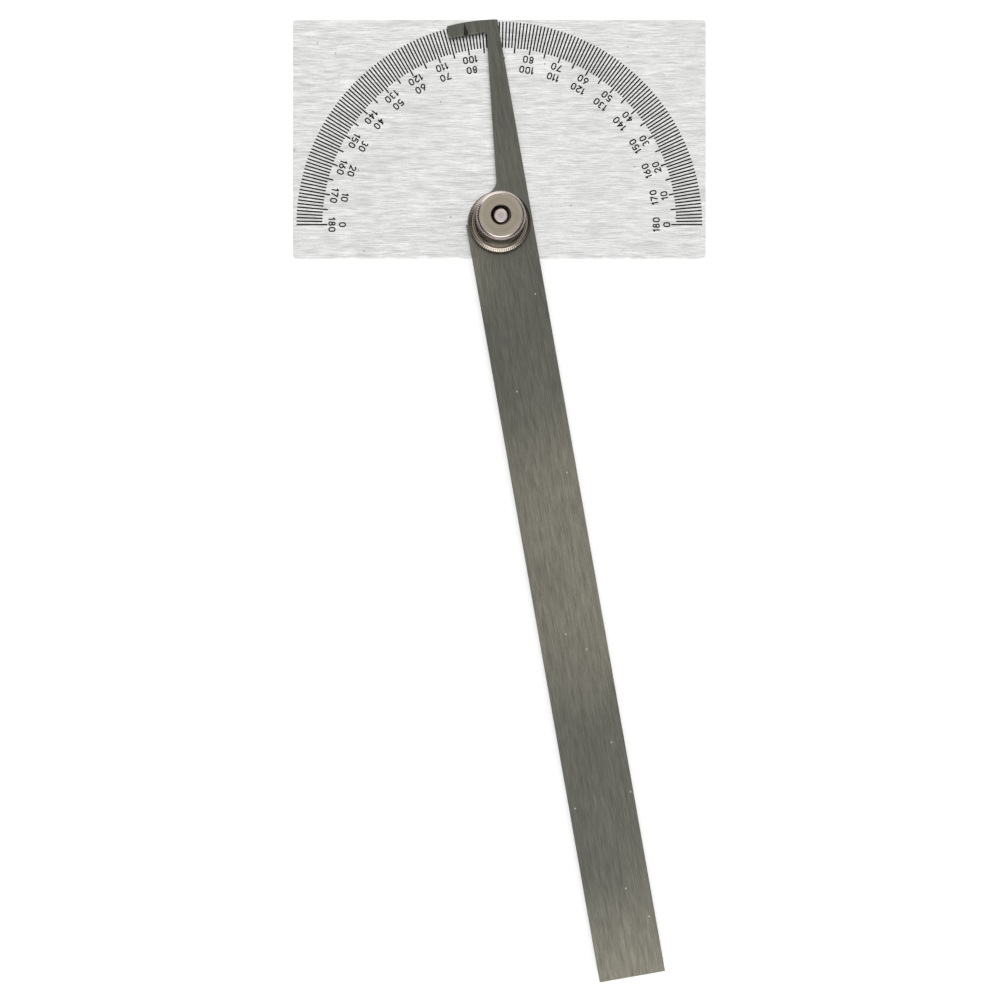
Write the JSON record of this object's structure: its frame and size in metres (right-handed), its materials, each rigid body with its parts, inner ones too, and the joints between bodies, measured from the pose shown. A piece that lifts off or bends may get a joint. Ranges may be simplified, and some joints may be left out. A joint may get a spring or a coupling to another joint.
{
  "type": "square-head protractor",
  "caption": "Square-head protractor: a flat rectangular head with a half-circle degree scale and a long swing arm clamped by a knurled thumb nut.",
  "frame": {"origin": "middle of the head's base edge face, halfway through the plate, straight below the pivot", "axes": "+Z out of the scale face, +Y up the head away from the base edge, +X along the base edge to the right as the scale is read"},
  "size_m": [0.0826, 0.1922, 0.0097],
  "materials": {
    "brushed_head": "satin stainless, brushed lengthwise",
    "black_fill": "matt black filling of etched lines",
    "brushed_arm": "satin stainless, brushed along the blade",
    "stud_steel": "bright machined steel",
    "washer_steel": "plain pressed steel",
    "nut_nickel": "turned and knurled, warm nickel colour"
  },
  "bodies": {
    "head": {"head_plate": "brushed_head", "scale_marks": "black_fill", "pivot_stud": "stud_steel"},
    "arm": {"swing_arm": "brushed_arm"},
    "washer": {"friction_washer": "washer_steel"},
    "nut": {"thumb_nut": "nut_nickel"}
  },
  "joints": [
    {"name": "arm_swing", "type": "hinge", "parent": "head", "child": "arm", "pos_m": [0, 0.0066, 0.0012], "axis": [0, 0, 1], "continuous": true},
    {"name": "nut_lift", "type": "slide", "parent": "head", "child": "washer", "axis": [0, 0, 1], "range_m": [0, 0.00397]},
    {"name": "nut_turn", "type": "hinge", "parent": "washer", "child": "nut", "pos_m": [0, 0.0066, 0.0052], "axis": [0, 0, 1], "range_deg": [0, 1800]}
  ],
  "couplings": [
    {"joint": "nut_turn", "follows": "nut_lift", "rad_per_m": 7915.8}
  ]
}
